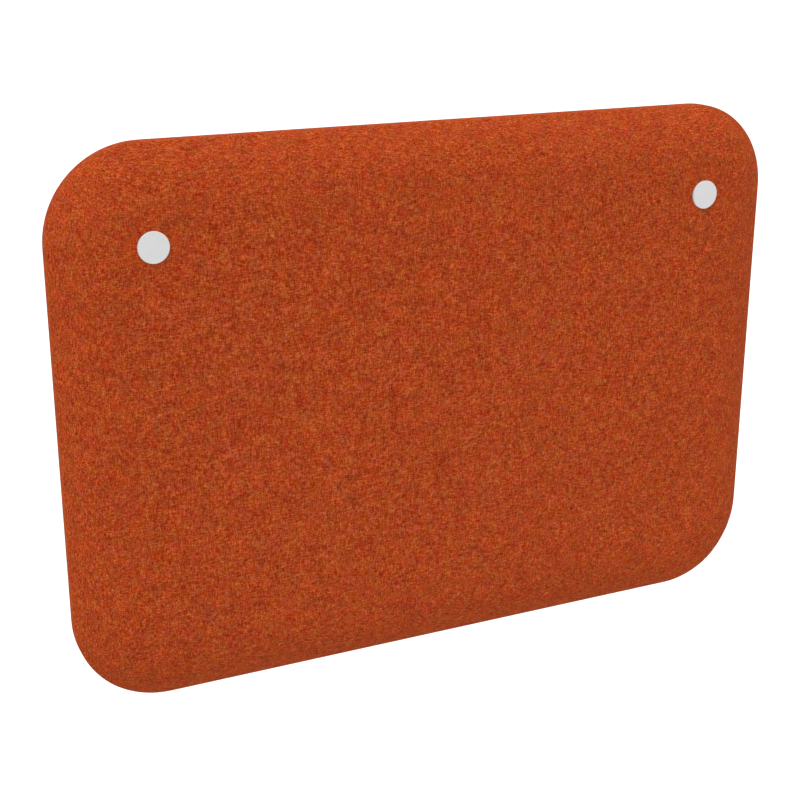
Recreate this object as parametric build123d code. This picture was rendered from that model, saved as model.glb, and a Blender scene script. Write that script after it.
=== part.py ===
"""Padded acoustic screen panel that is carried by two capped fixings near its upper corners.

Lengths are millimetres. The finished part has +Z up, +X to the right as seen from the front, and its
padded face towards -Y. The origin is midway between the two fixings, on the plane of their rear flanges.

Each piece is drawn as the panel lies on the bench, face up: x runs across, y runs up the panel and
z is the height above the flanges' rear faces. All of them are stood up together when they are written.
"""

import os
from math import atan2, cos, pi, sin, sqrt

from build123d import *

# Outline and crown of the whole panel
panel_width = 1000.0
panel_height = 708.0
corner_radius = 118.0
crease_rise = 1.2
crown_height = 32.6
crown_width = 70.0

# Felt, wadding and foam
felt_thickness = 1.5
wadding_thickness = 5.0
layer_gap = 0.2
turn_in_width = 38.0
hem_inset = 10.0

# Wooden frame, absorber cores and rear board
frame_depth = 16.0
rail_width = 60.0
block_reach = 50.2
block_chamfer = 50.0
core_gap = 1.0
board_thickness = 3.0
board_gap = 2.0

# Dowels of the frame's butt joints, two in each
dowel_diameter = 8.0
dowel_length = 40.0
dowel_gap = 0.1
dowel_end_gap = 0.5
dowel_staple_gap = 0.7

# Countersunk wood screw, one kind for the rear board and the flanges
screw_diameter = 3.5
screw_length = 16.0
screw_point_length = 3.0
screw_head_diameter = 7.0
screw_head_depth = 1.7
screw_recess_length = 3.6
screw_recess_width = 0.9
screw_recess_depth = 1.2
screw_gap = 0.1
board_screw_edge = 10.0
board_screw_pitch = 200.0

# Staples that hold the turned-in felt
staple_crown = 10.0
staple_leg = 8.0
staple_wire = 0.6
staple_width = 1.2
staple_gap = 0.1
staple_inset = 22.0
staple_pitch = 40.0

# Barrel of a fixing: a flange on the rear board and a sleeve that reaches the socket of the cap
fixing_inset = 116.5
flange_diameter = 44.0
flange_thickness = 2.0
flange_gap = 1.0
flange_screw_circle = 30.0
flange_screw_count = 3
barrel_diameter = 14.0
barrel_gap = 0.3
rear_thread_diameter = 8.0
rear_thread_depth = 18.0
front_thread_diameter = 6.0
front_thread_spare = 2.4
thread_gap = 0.1
thread_chamfer = 0.4

# Socket that clamps the felt and takes the cap
socket_diameter = 24.0
socket_depth = 10.0
socket_wall = 1.5
socket_floor = 2.4
socket_flange_thickness = 1.2
socket_gap = 0.3
socket_screw_length = 13.0
socket_screw_gap = 0.2
socket_screw_head_diameter = 10.0
socket_screw_head_height = 3.5
hex_across_corners = 4.6
hex_depth = 2.0

# Cap with a split spigot that grips the socket
cap_diameter = 38.0
cap_proud = 3.0
cap_edge_radius = 0.6
cap_rim_wall = 1.7
cap_felt_gap = 0.3
cap_flange_gap = 0.3
spigot_end_gap = 1.6
spigot_wall = 1.5
spigot_gap = 0.08
spigot_root = 1.5
spigot_slot = 2.0

# Cutting tools run past the faces that they cut by this much
overrun = 1.0

# Heights from the flanges' rear faces up to the top of the caps
board_back = flange_thickness
frame_back = board_back + board_thickness
frame_front = frame_back + frame_depth
side_back = frame_back - felt_thickness
crease_height = frame_front + crease_rise
face_height = crease_height + crown_height
socket_seat = face_height - socket_depth
socket_floor_top = socket_seat + socket_floor
socket_top = face_height + socket_flange_thickness
socket_screw_tip = socket_floor_top - socket_screw_length
front_thread_end = socket_screw_tip - front_thread_spare
cap_under = socket_top + cap_flange_gap
cap_top = face_height + cap_proud

# Places on the bench, from the midpoint between the fixings
half_width = panel_width / 2
half_height = panel_height / 2
centre_y = fixing_inset - half_height
fixing_x = half_width - fixing_inset
corner_x = half_width - corner_radius
corner_y = half_height - corner_radius

# The crown is one arc that leaves the flat face smoothly and meets the side at a crease
crown_radius = (crown_width**2 + crown_height**2) / (2 * crown_height)
crown_axis_height = face_height - crown_radius

# How far each layer lies inside the felt's outer surface
frame_inset = felt_thickness + layer_gap
foam_inset = frame_inset + wadding_thickness + layer_gap
board_inset = turn_in_width + board_gap

# The corner blocks reach past the fixings, and the outer dowels lie just outside the staples
block_size = fixing_inset - frame_inset + block_reach
dowel_edge = staple_inset - frame_inset - (staple_width + dowel_diameter) / 2 - dowel_staple_gap

# Outer edges of the frame and middles of its members, from the centre of the panel
frame_x = half_width - frame_inset
frame_y = half_height - frame_inset
stile_x = frame_x - rail_width / 2
rail_y = frame_y - rail_width / 2
frame_middle = (frame_back + frame_front) / 2


def rod(x, y, bottom, top, diameter):
    """A round bar that stands on the bench between two heights."""
    return extrude(Pos(x, y, bottom) * Circle(diameter / 2), top - bottom)


def turned(*outline):
    """A solid turned about z from points (radius, height) of its half section."""
    points = [(radius, 0, height) for radius, height in outline]
    return revolve(make_face(Polyline(*points, points[0])), Axis.Z)


def at_fixings(make):
    """The same shape at the left and the right fixing."""
    return [make(-fixing_x, 0), make(fixing_x, 0)]


def boxes_meet(first, second):
    """Whether the bounding boxes of two shapes share space."""
    a = first.bounding_box()
    b = second.bounding_box()
    return (
        min(a.max.X, b.max.X) > max(a.min.X, b.min.X)
        and min(a.max.Y, b.max.Y) > max(a.min.Y, b.min.Y)
        and min(a.max.Z, b.max.Z) > max(a.min.Z, b.min.Z)
    )


def cut_by(blank, tools):
    """The blank without those of the tools that reach it."""
    near = [tool for tool in tools if boxes_meet(tool, blank)]
    return blank - near if near else blank


def rounded_slab(inset, bottom, top):
    """A flat slab with the panel's outline, drawn in by inset."""
    outline = RectangleRounded(
        panel_width - 2 * inset, panel_height - 2 * inset, corner_radius - inset
    )
    return extrude(Pos(0, centre_y, bottom) * outline, top - bottom)


def crowned_section(inset, bottom):
    """The crowned edge in section: x runs out from a corner's axis to the side, z is the height.

    inset is the depth below the felt's outer surface. All layers share the centre of the crown's arc.
    """
    radius = crown_radius - inset
    centre = corner_radius - crown_width
    face = crown_axis_height + radius
    reach = crown_width - inset
    crease = crown_axis_height + sqrt(radius**2 - reach**2)
    has_side = crease > bottom
    if not has_side:
        crease = bottom
        reach = sqrt(radius**2 - (bottom - crown_axis_height) ** 2)
    middle = (pi / 2 + atan2(crease - crown_axis_height, reach)) / 2
    middle_x = centre + radius * cos(middle)
    middle_height = crown_axis_height + radius * sin(middle)

    edges = [
        Line((0, 0, bottom), (centre + reach, 0, bottom)),
        ThreePointArc(
            (centre + reach, 0, crease), (middle_x, 0, middle_height), (centre, 0, face)
        ),
        Line((centre, 0, face), (0, 0, face)),
        Line((0, 0, face), (0, 0, bottom)),
    ]
    if has_side:
        edges.append(Line((centre + reach, 0, bottom), (centre + reach, 0, crease)))
    return make_face(edges)


def crowned_slab(inset, bottom):
    """The padded shape: flat back, flat face, and a crown that rolls over all four edges."""
    section = crowned_section(inset, bottom)
    thickness = face_height - inset - bottom
    middle = Pos(0, 0, bottom) * Rectangle(2 * corner_x, 2 * corner_y)
    middle = extrude(middle, thickness)
    side = extrude(Pos(corner_x, -corner_y, 0) * section, 2 * corner_y, dir=(0, 1, 0))
    end = Pos(-corner_x, corner_y, 0) * Rot(0, 0, 90) * section
    end = extrude(end, 2 * corner_x, dir=(1, 0, 0))
    right_corner = Pos(corner_x, corner_y, 0) * revolve(section, Axis.Z, 90)
    left_corner = mirror(right_corner, Plane.YZ)
    top_row = [end, right_corner, left_corner]
    bottom_row = [mirror(shape, Plane.XZ) for shape in top_row]
    slab = middle + [side, mirror(side, Plane.YZ)] + top_row + bottom_row
    return Pos(0, centre_y, 0) * slab


def socket_holes(bottom):
    """Round holes for the two sockets, from a height up through the face."""
    width = socket_diameter + 2 * socket_gap
    return at_fixings(lambda x, y: rod(x, y, bottom, cap_top, width))


def barrel_holes(bottom, top):
    """Round holes for the two barrels between two heights."""
    width = barrel_diameter + 2 * barrel_gap
    return at_fixings(lambda x, y: rod(x, y, bottom, top, width))


def dowels(gap=0.0, end_gap=0.0):
    """The dowels of every butt joint. With gaps, the same shapes cut their holes."""
    joint_x = frame_x - block_size
    joint_y = frame_y - block_size
    joints = []
    for side in (-1, 1):
        for end in (-1, 1):
            joints.append(Pos(side * joint_x, end * rail_y, 0))
            joints.append(Pos(side * stile_x, end * joint_y, 0) * Rot(0, 0, 90))
    for end in (-1, 1):
        joints.append(Pos(0, end * (frame_y - rail_width), 0) * Rot(0, 0, 90))
    bar = Cylinder(dowel_diameter / 2 + gap, dowel_length + 2 * end_gap)
    lying = Rot(0, 90, 0) * bar
    panel_middle = Pos(0, centre_y, frame_middle)
    offset_y = rail_width / 2 - dowel_edge
    return [
        panel_middle * joint * Pos(0, side * offset_y, 0) * lying
        for joint in joints
        for side in (-1, 1)
    ]


def wood_screw(x, y, seat):
    """A countersunk screw driven towards the face, with its head flush at the seat height."""
    screw = turned(
        (0, 0),
        (screw_head_diameter / 2, 0),
        (screw_diameter / 2, screw_head_depth),
        (screw_diameter / 2, screw_length - screw_point_length),
        (0, screw_length),
    )
    slot = Box(screw_recess_length, screw_recess_width, 2 * screw_recess_depth)
    return Pos(x, y, seat) * (screw - slot - Rot(0, 0, 90) * slot)


def screw_hole(x, y, seat):
    """The countersunk pilot hole of a wood screw."""
    head = screw_head_diameter / 2 + screw_gap
    shank = screw_diameter / 2 + screw_gap
    end = screw_length + screw_gap
    hole = turned(
        (0, -overrun),
        (head, -overrun),
        (head, 0),
        (shank, screw_head_depth),
        (shank, end),
        (0, end),
    )
    return Pos(x, y, seat) * hole


def spread_along(length, pitch):
    """Places from one end of a length to the other, both included, about a pitch apart."""
    steps = max(2, round(length / pitch))
    return [length * (step / steps - 1 / 2) for step in range(steps + 1)]


def board_screw_places():
    """The screws round the edge of the rear board and down its middle."""
    across = half_width - board_inset - board_screw_edge
    along = half_height - board_inset - board_screw_edge
    columns = spread_along(2 * corner_x, board_screw_pitch)
    rows = spread_along(2 * corner_y, board_screw_pitch)
    places = [(x, side * along) for x in columns for side in (-1, 1)]
    places += [(side * across, y) for y in rows for side in (-1, 1)]
    places += [(0, y) for y in rows[1:-1]]
    return [(x, centre_y + y, board_back) for x, y in places]


def flange_screw_places():
    """The screws of both flanges, the first of each on the side towards the lower edge."""
    radius = flange_screw_circle / 2
    places = []
    for number in range(flange_screw_count):
        angle = 2 * pi * number / flange_screw_count - pi / 2
        for centre in (-fixing_x, fixing_x):
            places.append((centre + radius * cos(angle), radius * sin(angle), 0))
    return places


def screw_holes():
    """Every pilot hole of the rear board and the flanges."""
    return [screw_hole(*place) for place in board_screw_places() + flange_screw_places()]


def staple_places():
    """Where the staples lie round the panel, each with the angle of its crown."""
    across = half_width - staple_inset
    along = half_height - staple_inset
    radius = corner_radius - staple_inset
    steps = max(2, round(pi / 2 * radius / staple_pitch))
    columns = spread_along(2 * corner_x, staple_pitch)
    rows = spread_along(2 * corner_y, staple_pitch)
    places = [(x, end * along, 0) for x in columns for end in (-1, 1)]
    places += [(side * across, y, 90) for y in rows for side in (-1, 1)]
    for step in range(1, steps):
        angle = pi / 2 * step / steps
        x = corner_x + radius * cos(angle)
        y = corner_y + radius * sin(angle)
        turn = 90 * (1 + step / steps)
        for side in (-1, 1):
            for end in (-1, 1):
                places.append((side * x, end * y, side * end * turn))
    return places


def staple(gap=0.0):
    """A staple with its crown at height 0 and its legs up. With a gap, it is the slot for one."""
    half = staple_crown / 2 + gap
    inner = half - staple_wire - 2 * gap
    back = -overrun if gap else 0.0
    crown = staple_wire + gap
    tip = staple_wire + staple_leg + gap
    right = [(half, back), (half, tip), (inner, tip), (inner, crown)]
    left = [(-x, height) for x, height in reversed(right)]
    points = [(x, 0, height) for x, height in right + left]
    outline = make_face(Polyline(*points, points[0]))
    width = staple_width + 2 * gap
    return extrude(Pos(0, -width / 2, 0) * outline, width, dir=(0, 1, 0))


def staples(gap=0.0):
    """The staples round the turned-in felt, flush with it. With a gap, they cut its slots."""
    shape = staple(gap)
    return [
        Pos(x, centre_y + y, side_back) * Rot(0, 0, turn) * shape
        for x, y, turn in staple_places()
    ]


def straight_member(x, y, width, height):
    """A blank for a rail or stile about a place given from the centre of the panel."""
    return Pos(x, centre_y + y, frame_middle) * Box(width, height, frame_depth)


def block_outline():
    """The upper right corner block from the front: outer corner rounded, inner corner chamfered."""
    middle_x = frame_x - block_size / 2
    middle_y = frame_y - block_size / 2
    square = Pos(middle_x, middle_y) * Rectangle(block_size, block_size)
    outer = square.vertices().sort_by(lambda corner: corner.X + corner.Y)[-1]
    rounded = fillet(outer, corner_radius - frame_inset)
    inner = rounded.vertices().sort_by(lambda corner: corner.X + corner.Y)[0]
    return chamfer(inner, block_chamfer)


def corner_blocks():
    """The four corner blocks: one shape and its mirror images."""
    right = extrude(block_outline(), frame_depth)
    left = mirror(right, Plane.YZ)
    shapes = {
        "top_left": left,
        "top_right": right,
        "bottom_left": mirror(left, Plane.XZ),
        "bottom_right": mirror(right, Plane.XZ),
    }
    place = Pos(0, centre_y, frame_back)
    return {"corner_block_" + name: place * shape for name, shape in shapes.items()}


def frame_members():
    """Two rails, three stiles and four corner blocks, with every hole and slot."""
    long_side = 2 * (frame_x - block_size)
    short_side = 2 * (frame_y - block_size)
    between_rails = 2 * (frame_y - rail_width)
    blanks = {
        "top_rail": straight_member(0, rail_y, long_side, rail_width),
        "bottom_rail": straight_member(0, -rail_y, long_side, rail_width),
        "left_stile": straight_member(-stile_x, 0, rail_width, short_side),
        "right_stile": straight_member(stile_x, 0, rail_width, short_side),
        "centre_stile": straight_member(0, 0, rail_width, between_rails),
    }
    blanks.update(corner_blocks())
    tools = dowels(dowel_gap, dowel_end_gap) + screw_holes() + staples(staple_gap)
    tools += barrel_holes(frame_back - overrun, frame_front + overrun)
    return {name: cut_by(blank, tools) for name, blank in blanks.items()}


def absorber_cores():
    """The slab that fills each bay of the frame, cut round the corner blocks."""
    bay_outer = frame_x - rail_width - core_gap
    bay_inner = rail_width / 2 + core_gap
    bay_height = 2 * (frame_y - rail_width - core_gap)
    bay = Rectangle(bay_outer - bay_inner, bay_height)
    bay = Pos((bay_outer + bay_inner) / 2, 0) * bay
    block = offset(block_outline(), core_gap, kind=Kind.INTERSECTION)
    outline = bay - block - mirror(block, Plane.XZ)
    right = Pos(0, centre_y, frame_back) * extrude(outline, frame_depth)
    return {"core_left": mirror(right, Plane.YZ), "core_right": right}


def rear_board():
    """Thin plywood over the back of the frame, inside the turned-in felt."""
    board = rounded_slab(board_inset, board_back, frame_back)
    barrels = barrel_holes(board_back - overrun, frame_back + overrun)
    return board - screw_holes() - barrels


def foam_pad():
    """Crowned foam on the front of the frame, with room for the barrels and the sockets."""
    pad = crowned_slab(foam_inset, frame_front)
    return pad - socket_holes(socket_seat) - barrel_holes(frame_back, face_height)


def wadding_layer():
    """Soft wadding between the foam and the felt, open at the back."""
    outer = crowned_slab(frame_inset, frame_front)
    inner = crowned_slab(frame_inset + wadding_thickness, frame_front - overrun)
    return outer - inner - socket_holes(frame_front)


def front_cover():
    """Felt over the face and the sides, turned in round the back of the frame."""
    outer = crowned_slab(0.0, side_back)
    inner = crowned_slab(felt_thickness, frame_back)
    window = rounded_slab(turn_in_width, side_back - overrun, frame_back + overrun)
    return outer - inner - window - socket_holes(crease_height) - staples(staple_gap)


def rear_cover():
    """Felt over the board, with its edge folded under into a hem on the turned-in felt."""
    sheet = rounded_slab(hem_inset, board_back - felt_thickness, board_back)
    inside = rounded_slab(turn_in_width, 0, frame_back)
    fold = rounded_slab(hem_inset, board_back, side_back) - inside
    width = flange_diameter + 2 * flange_gap
    openings = at_fixings(lambda x, y: rod(x, y, -overrun, frame_back, width))
    return sheet + fold - openings


def fixing_barrel(x, y):
    """Flange and sleeve in one, threaded from both ends, with a solid web between the threads."""
    rear = rear_thread_diameter / 2 + thread_gap
    front = front_thread_diameter / 2 + thread_gap
    barrel = turned(
        (rear + thread_chamfer, 0),
        (flange_diameter / 2, 0),
        (flange_diameter / 2, flange_thickness),
        (barrel_diameter / 2, flange_thickness),
        (barrel_diameter / 2, socket_seat),
        (front, socket_seat),
        (front, front_thread_end),
        (0, front_thread_end),
        (0, rear_thread_depth),
        (rear, rear_thread_depth),
        (rear, thread_chamfer),
    )
    return cut_by(Pos(x, y, 0) * barrel, screw_holes())


def cap_socket(x, y):
    """A flanged cup: it clamps the felt against the barrel's end and holds the cap."""
    hole = front_thread_diameter / 2 + socket_screw_gap
    bore = socket_diameter / 2 - socket_wall
    flange = cap_diameter / 2 - cap_rim_wall - cap_flange_gap
    cup = turned(
        (hole, socket_seat),
        (socket_diameter / 2, socket_seat),
        (socket_diameter / 2, face_height),
        (flange, face_height),
        (flange, socket_top),
        (bore, socket_top),
        (bore, socket_floor_top),
        (hole, socket_floor_top),
    )
    return Pos(x, y, 0) * cup


def socket_screw(x, y):
    """A low cylinder head screw with a hexagon recess, from the cup's floor into the barrel."""
    head_top = socket_floor_top + socket_screw_head_height
    screw = rod(x, y, socket_floor_top, head_top, socket_screw_head_diameter)
    screw += rod(x, y, socket_screw_tip, socket_floor_top, front_thread_diameter)
    recess = Pos(x, y, head_top - hex_depth) * RegularPolygon(hex_across_corners / 2, 6)
    return screw - extrude(recess, hex_depth)


def button_cap(x, y):
    """A flat disc whose rim hides the socket's flange, on a spigot split into four fingers."""
    rim_bottom = face_height + cap_felt_gap
    disc = rod(x, y, rim_bottom, cap_top, cap_diameter)
    disc = fillet(disc.edges().sort_by(Axis.Z)[-1], cap_edge_radius)
    disc -= rod(x, y, rim_bottom, cap_under, cap_diameter - 2 * cap_rim_wall)

    outer = socket_diameter - 2 * socket_wall - 2 * spigot_gap
    inner = outer - 2 * spigot_wall
    end = socket_floor_top + spigot_end_gap
    spigot = rod(x, y, end, cap_under, outer) - rod(x, y, end, cap_under, inner)
    slot_height = cap_under - spigot_root - end
    slot_middle = Pos(x, y, end + slot_height / 2)
    spigot -= slot_middle * Box(spigot_slot, outer, slot_height)
    spigot -= slot_middle * Box(outer, spigot_slot, slot_height)
    return disc + spigot


def left_and_right(name, make):
    """One node for each fixing."""
    left, right = at_fixings(make)
    return {name + "_left": left, name + "_right": right}


def group(shapes):
    """Like fasteners as one node of separate solids."""
    return Compound([solid for shape in shapes for solid in shape.solids()])


def assembly():
    """Every node of the panel, by name, as it lies on the bench."""
    nodes = frame_members()
    nodes.update(absorber_cores())
    nodes["rear_board"] = rear_board()
    nodes["foam_pad"] = foam_pad()
    nodes["wadding_layer"] = wadding_layer()
    nodes["front_cover"] = front_cover()
    nodes["rear_cover"] = rear_cover()
    nodes["frame_dowels"] = group(dowels())
    nodes["board_screws"] = group(wood_screw(*place) for place in board_screw_places())
    nodes["flange_screws"] = group(wood_screw(*place) for place in flange_screw_places())
    nodes["cover_staples"] = group(staples())
    nodes.update(left_and_right("fixing_barrel", fixing_barrel))
    nodes.update(left_and_right("cap_socket", cap_socket))
    nodes["socket_screws"] = group(at_fixings(socket_screw))
    nodes.update(left_and_right("button_cap", button_cap))
    return nodes


os.makedirs("parts", exist_ok=True)
for name, shape in assembly().items():
    export_step(Plane.XZ * shape, "parts/" + name + ".step")
    print(name, len(shape.solids()), "solids")
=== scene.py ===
"""Looks of a padded acoustic screen panel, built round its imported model.

Lengths are metres. The padded face looks towards -Y and +Z is up. Soft pieces are drawn as the panel
lies on the bench, face up, where z is the height above the flanges' rear faces, and are then stood up.
Their profiles are lists of points (reach, height), with the reach measured out from a corner's axis.
"""

from math import acos, asin, cos, hypot, pi, radians, sin, tan

import bmesh
import bpy
from bpy.props import FloatProperty, FloatVectorProperty, IntProperty, PointerProperty
from mathutils import Matrix, Vector, noise


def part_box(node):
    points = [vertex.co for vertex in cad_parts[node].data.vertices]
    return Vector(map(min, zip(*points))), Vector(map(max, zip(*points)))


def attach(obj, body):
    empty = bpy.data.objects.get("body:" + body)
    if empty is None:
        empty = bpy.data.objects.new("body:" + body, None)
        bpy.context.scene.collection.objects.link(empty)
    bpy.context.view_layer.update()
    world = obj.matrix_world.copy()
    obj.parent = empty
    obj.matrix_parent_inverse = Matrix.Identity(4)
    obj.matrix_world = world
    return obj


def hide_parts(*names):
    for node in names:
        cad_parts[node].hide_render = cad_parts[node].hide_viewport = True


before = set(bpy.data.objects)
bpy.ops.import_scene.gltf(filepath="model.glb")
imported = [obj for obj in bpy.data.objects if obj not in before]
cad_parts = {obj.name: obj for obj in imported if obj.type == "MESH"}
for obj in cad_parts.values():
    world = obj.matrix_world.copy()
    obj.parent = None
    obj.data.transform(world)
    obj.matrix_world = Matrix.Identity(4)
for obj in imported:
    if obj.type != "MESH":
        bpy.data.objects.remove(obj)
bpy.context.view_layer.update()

bl_info = {
    "name": "Acoustic screen panel",
    "version": (1, 0, 0),
    "blender": (4, 5, 0),
    "location": "3D View > Sidebar > Screen panel",
    "description": "Felt, padding, caps and finishes of a padded acoustic screen panel",
    "category": "Object",
}


def bench_box(node):
    """A node's box on the bench: lowest and highest x, y from the panel's centre, and height."""
    low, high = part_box(node)
    return (
        Vector((low.x, low.z - panel_middle, -high.y)),
        Vector((high.x, high.z - panel_middle, -low.y)),
    )


def middle_of(node):
    """The centre of a node's box on the bench."""
    low, high = bench_box(node)
    return (low + high) / 2


# Height of the panel's centre in the frame, and the bench's boxes of what the soft pieces fit
panel_middle = (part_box("front_cover")[0].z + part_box("front_cover")[1].z) / 2
cover_low, cover_high = bench_box("front_cover")
wadding_low, wadding_high = bench_box("wadding_layer")
foam_low, foam_high = bench_box("foam_pad")
core_low, core_high = bench_box("core_right")
cap_low, cap_high = bench_box("button_cap_right")
rear_low = bench_box("rear_cover")[0]
block_low = bench_box("corner_block_top_right")[0]
barrel_high = bench_box("fixing_barrel_right")[1]
SIDES = ("left", "right")

# The bench's x, y, z become the frame's x, -z, y, with the panel's centre at its height
STAND_UP = Matrix.Translation((0, 0, panel_middle)) @ Matrix.Rotation(radians(90), 4, "X")

# How far from the axis of a socket and of a flange the grid makes way for the rings of the hole
SOCKET_CUT = 0.0235
FLANGE_CUT = 0.034

MERGE_DISTANCE = 1e-5

# What a material's name adds to its slot's name
FINISH = "_finish"


# Settings


class PaddingSettings(bpy.types.PropertyGroup):
    """Outline, crown and layers of the padded panel."""

    corner_radius: FloatProperty(
        name="Corner radius",
        description="Radius of the panel's outline at its corners",
        default=0.118, min=0.08, unit="LENGTH",
    )
    crown_width: FloatProperty(
        name="Crown width",
        description="How far in from the sides the face starts to roll over",
        default=0.070, min=0.02, unit="LENGTH",
    )
    crown_height: FloatProperty(
        name="Crown height",
        description="How far the crown drops from the face to the crease",
        default=0.0326, min=0.005, unit="LENGTH",
    )
    crease_radius: FloatProperty(
        name="Crease radius",
        description="Softness of the crease between crown and side",
        default=0.005, min=0.001, unit="LENGTH",
    )
    turn_in: FloatProperty(
        name="Turn-in",
        description="Width of the felt that is turned in behind the frame",
        default=0.038, min=0.01, unit="LENGTH",
    )
    felt: FloatProperty(
        name="Felt",
        description="Thickness of the felt",
        default=0.0015, min=0.0005, unit="LENGTH",
    )
    wadding: FloatProperty(
        name="Wadding",
        description="Thickness of the wadding under the felt",
        default=0.005, min=0.001, unit="LENGTH",
    )
    socket_hole: FloatProperty(
        name="Socket hole",
        description="Diameter of the holes for the sockets in the felt, the wadding and the foam",
        default=0.0246, min=0.005, unit="LENGTH",
    )
    barrel_hole: FloatProperty(
        name="Barrel hole",
        description="Diameter of the holes for the barrels in the foam",
        default=0.0146, min=0.003, unit="LENGTH",
    )
    flange_hole: FloatProperty(
        name="Flange hole",
        description="Diameter of the holes for the flanges in the rear felt",
        default=0.046, min=0.01, unit="LENGTH",
    )
    block_chamfer: FloatProperty(
        name="Block chamfer",
        description="Chamfer on the inner corner of the frame's corner blocks",
        default=0.050, min=0.0, unit="LENGTH",
    )
    absorber_edge: FloatProperty(
        name="Absorber edge",
        description="Width of the rounding on the edges of the absorbers",
        default=0.0015, min=0.0, unit="LENGTH",
    )
    mesh_step: FloatProperty(
        name="Mesh step",
        description="Length of a face along the straight sides",
        default=0.012, min=0.004, unit="LENGTH",
    )
    turn_steps: IntProperty(
        name="Turn steps",
        description="Faces round each corner",
        default=24, min=8,
    )
    crown_steps: IntProperty(
        name="Crown steps",
        description="Faces down the crown",
        default=10, min=4,
    )
    pressure: FloatProperty(
        name="Pressure",
        description="How hard the padding presses the front felt out",
        default=4.0, min=0.0,
    )
    swell: FloatProperty(
        name="Swell",
        description="The most that the front felt may swell from its moulded form",
        default=0.0008, min=0.0, unit="LENGTH",
    )
    clamped_reach: FloatProperty(
        name="Clamped reach",
        description="How far from a socket's axis the front felt is held down",
        default=0.022, min=0.0, unit="LENGTH",
    )
    unevenness: FloatProperty(
        name="Unevenness",
        description="How far the padding rises and falls under the felt",
        default=0.0003, min=0.0, unit="LENGTH",
    )
    uneven_width: FloatProperty(
        name="Uneven width",
        description="How wide each rise and fall of the padding is",
        default=0.080, min=0.01, unit="LENGTH",
    )


class SewingSettings(bpy.types.PropertyGroup):
    """The stitches that close the rear felt's hem."""

    pitch: FloatProperty(
        name="Pitch",
        description="Distance from one stitch to the next",
        default=0.008, min=0.002, unit="LENGTH",
    )
    thread: FloatProperty(
        name="Thread",
        description="Diameter of the thread",
        default=0.0008, min=0.0002, unit="LENGTH",
    )
    slant: FloatProperty(
        name="Slant",
        description="How far a stitch runs along the edge from end to end",
        default=0.002, min=0.0, unit="LENGTH",
    )
    reach: FloatProperty(
        name="Reach",
        description="Angle that a stitch covers on the hem's rounded fold",
        default=radians(150), subtype="ANGLE",
    )


class ColourSettings(bpy.types.PropertyGroup):
    """Colours of the felt's fibres and of the caps."""

    felt_dark: FloatVectorProperty(
        name="Dark fibres",
        description="Darkest flecks of the felt",
        default=(0.235, 0.0112, 0.0006), subtype="COLOR", min=0.0, max=1.0,
    )
    felt_body: FloatVectorProperty(
        name="Body fibres",
        description="Main colour of the felt",
        default=(0.404, 0.0525, 0.0080), subtype="COLOR", min=0.0, max=1.0,
    )
    felt_light: FloatVectorProperty(
        name="Light fibres",
        description="Lightest flecks of the felt",
        default=(0.598, 0.133, 0.048), subtype="COLOR", min=0.0, max=1.0,
    )
    cap: FloatVectorProperty(
        name="Caps",
        description="Colour of the two caps",
        default=(0.705, 0.705, 0.705), subtype="COLOR", min=0.0, max=1.0,
    )


class StageSettings(bpy.types.PropertyGroup):
    """Camera, floor and lamps."""

    camera_place: FloatVectorProperty(
        name="Camera",
        description="Where the camera stands",
        default=(-0.8354, -1.6877, 0.3751), subtype="TRANSLATION",
    )
    camera_yaw: FloatProperty(
        name="Yaw",
        description="How far the camera looks to the right of straight back",
        default=radians(25.084), subtype="ANGLE",
    )
    camera_pitch: FloatProperty(
        name="Pitch",
        description="How far the camera looks down",
        default=radians(18.526), subtype="ANGLE",
    )
    lens: FloatProperty(
        name="Lens",
        description="Focal length of the camera",
        default=66.83, min=1.0, unit="CAMERA",
    )
    floor_drop: FloatProperty(
        name="Floor drop",
        description="How far the floor lies below the panel",
        default=0.65, min=0.0, unit="LENGTH",
    )
    floor_size: FloatProperty(
        name="Floor size",
        description="Length of the floor's sides",
        default=60.0, min=1.0, unit="LENGTH",
    )
    floor_level: FloatProperty(
        name="Floor level",
        description="How much of the light the floor sends back",
        default=0.58, min=0.0, max=1.0, subtype="FACTOR",
    )
    floor_seen: FloatProperty(
        name="Floor as seen",
        description="How pale the floor looks to the camera and in mirrors and glass",
        default=1.0, min=0.0, max=1.0, subtype="FACTOR",
    )
    sky_level: FloatProperty(
        name="Sky level",
        description="Light from all round",
        default=0.93, min=0.0,
    )
    key_level: FloatProperty(
        name="Key level",
        description="Light from the key lamp",
        default=0.42, min=0.0,
    )
    key_direction: FloatVectorProperty(
        name="Key direction",
        description="Where the key lamp stands, as seen from the panel",
        default=(-0.39, -0.25, 0.89), subtype="DIRECTION",
    )
    key_softness: FloatProperty(
        name="Key softness",
        description="Width of the key lamp as seen from the panel",
        default=radians(35), min=0.0, max=pi, subtype="ANGLE",
    )


# Profiles and outlines on the bench


def corner_axis(settings):
    """Where the axis of the upper right corner stands on the bench."""
    return Vector((cover_high.x - settings.corner_radius, cover_high.y - settings.corner_radius))


def soft_edge(start, bend, end, radius):
    """Points of an arc that rounds the corner at bend between two straight stretches."""
    steps = 3
    before = (Vector(start) - Vector(bend)).normalized()
    after = (Vector(end) - Vector(bend)).normalized()
    half = before.angle(after) / 2
    centre = Vector(bend) + (before + after).normalized() * radius / sin(half)
    first = (Vector(bend) + before * radius / tan(half) - centre).normalized()
    last = (Vector(bend) + after * radius / tan(half) - centre).normalized()
    return [centre + radius * first.slerp(last, step / steps) for step in range(steps + 1)]


def face_line(end, height, step):
    """Evenly spaced points over the flat face from a corner's axis to where the crown begins."""
    steps = max(2, round(end / step))
    return [Vector((end * number / steps, height)) for number in range(steps)]


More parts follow.
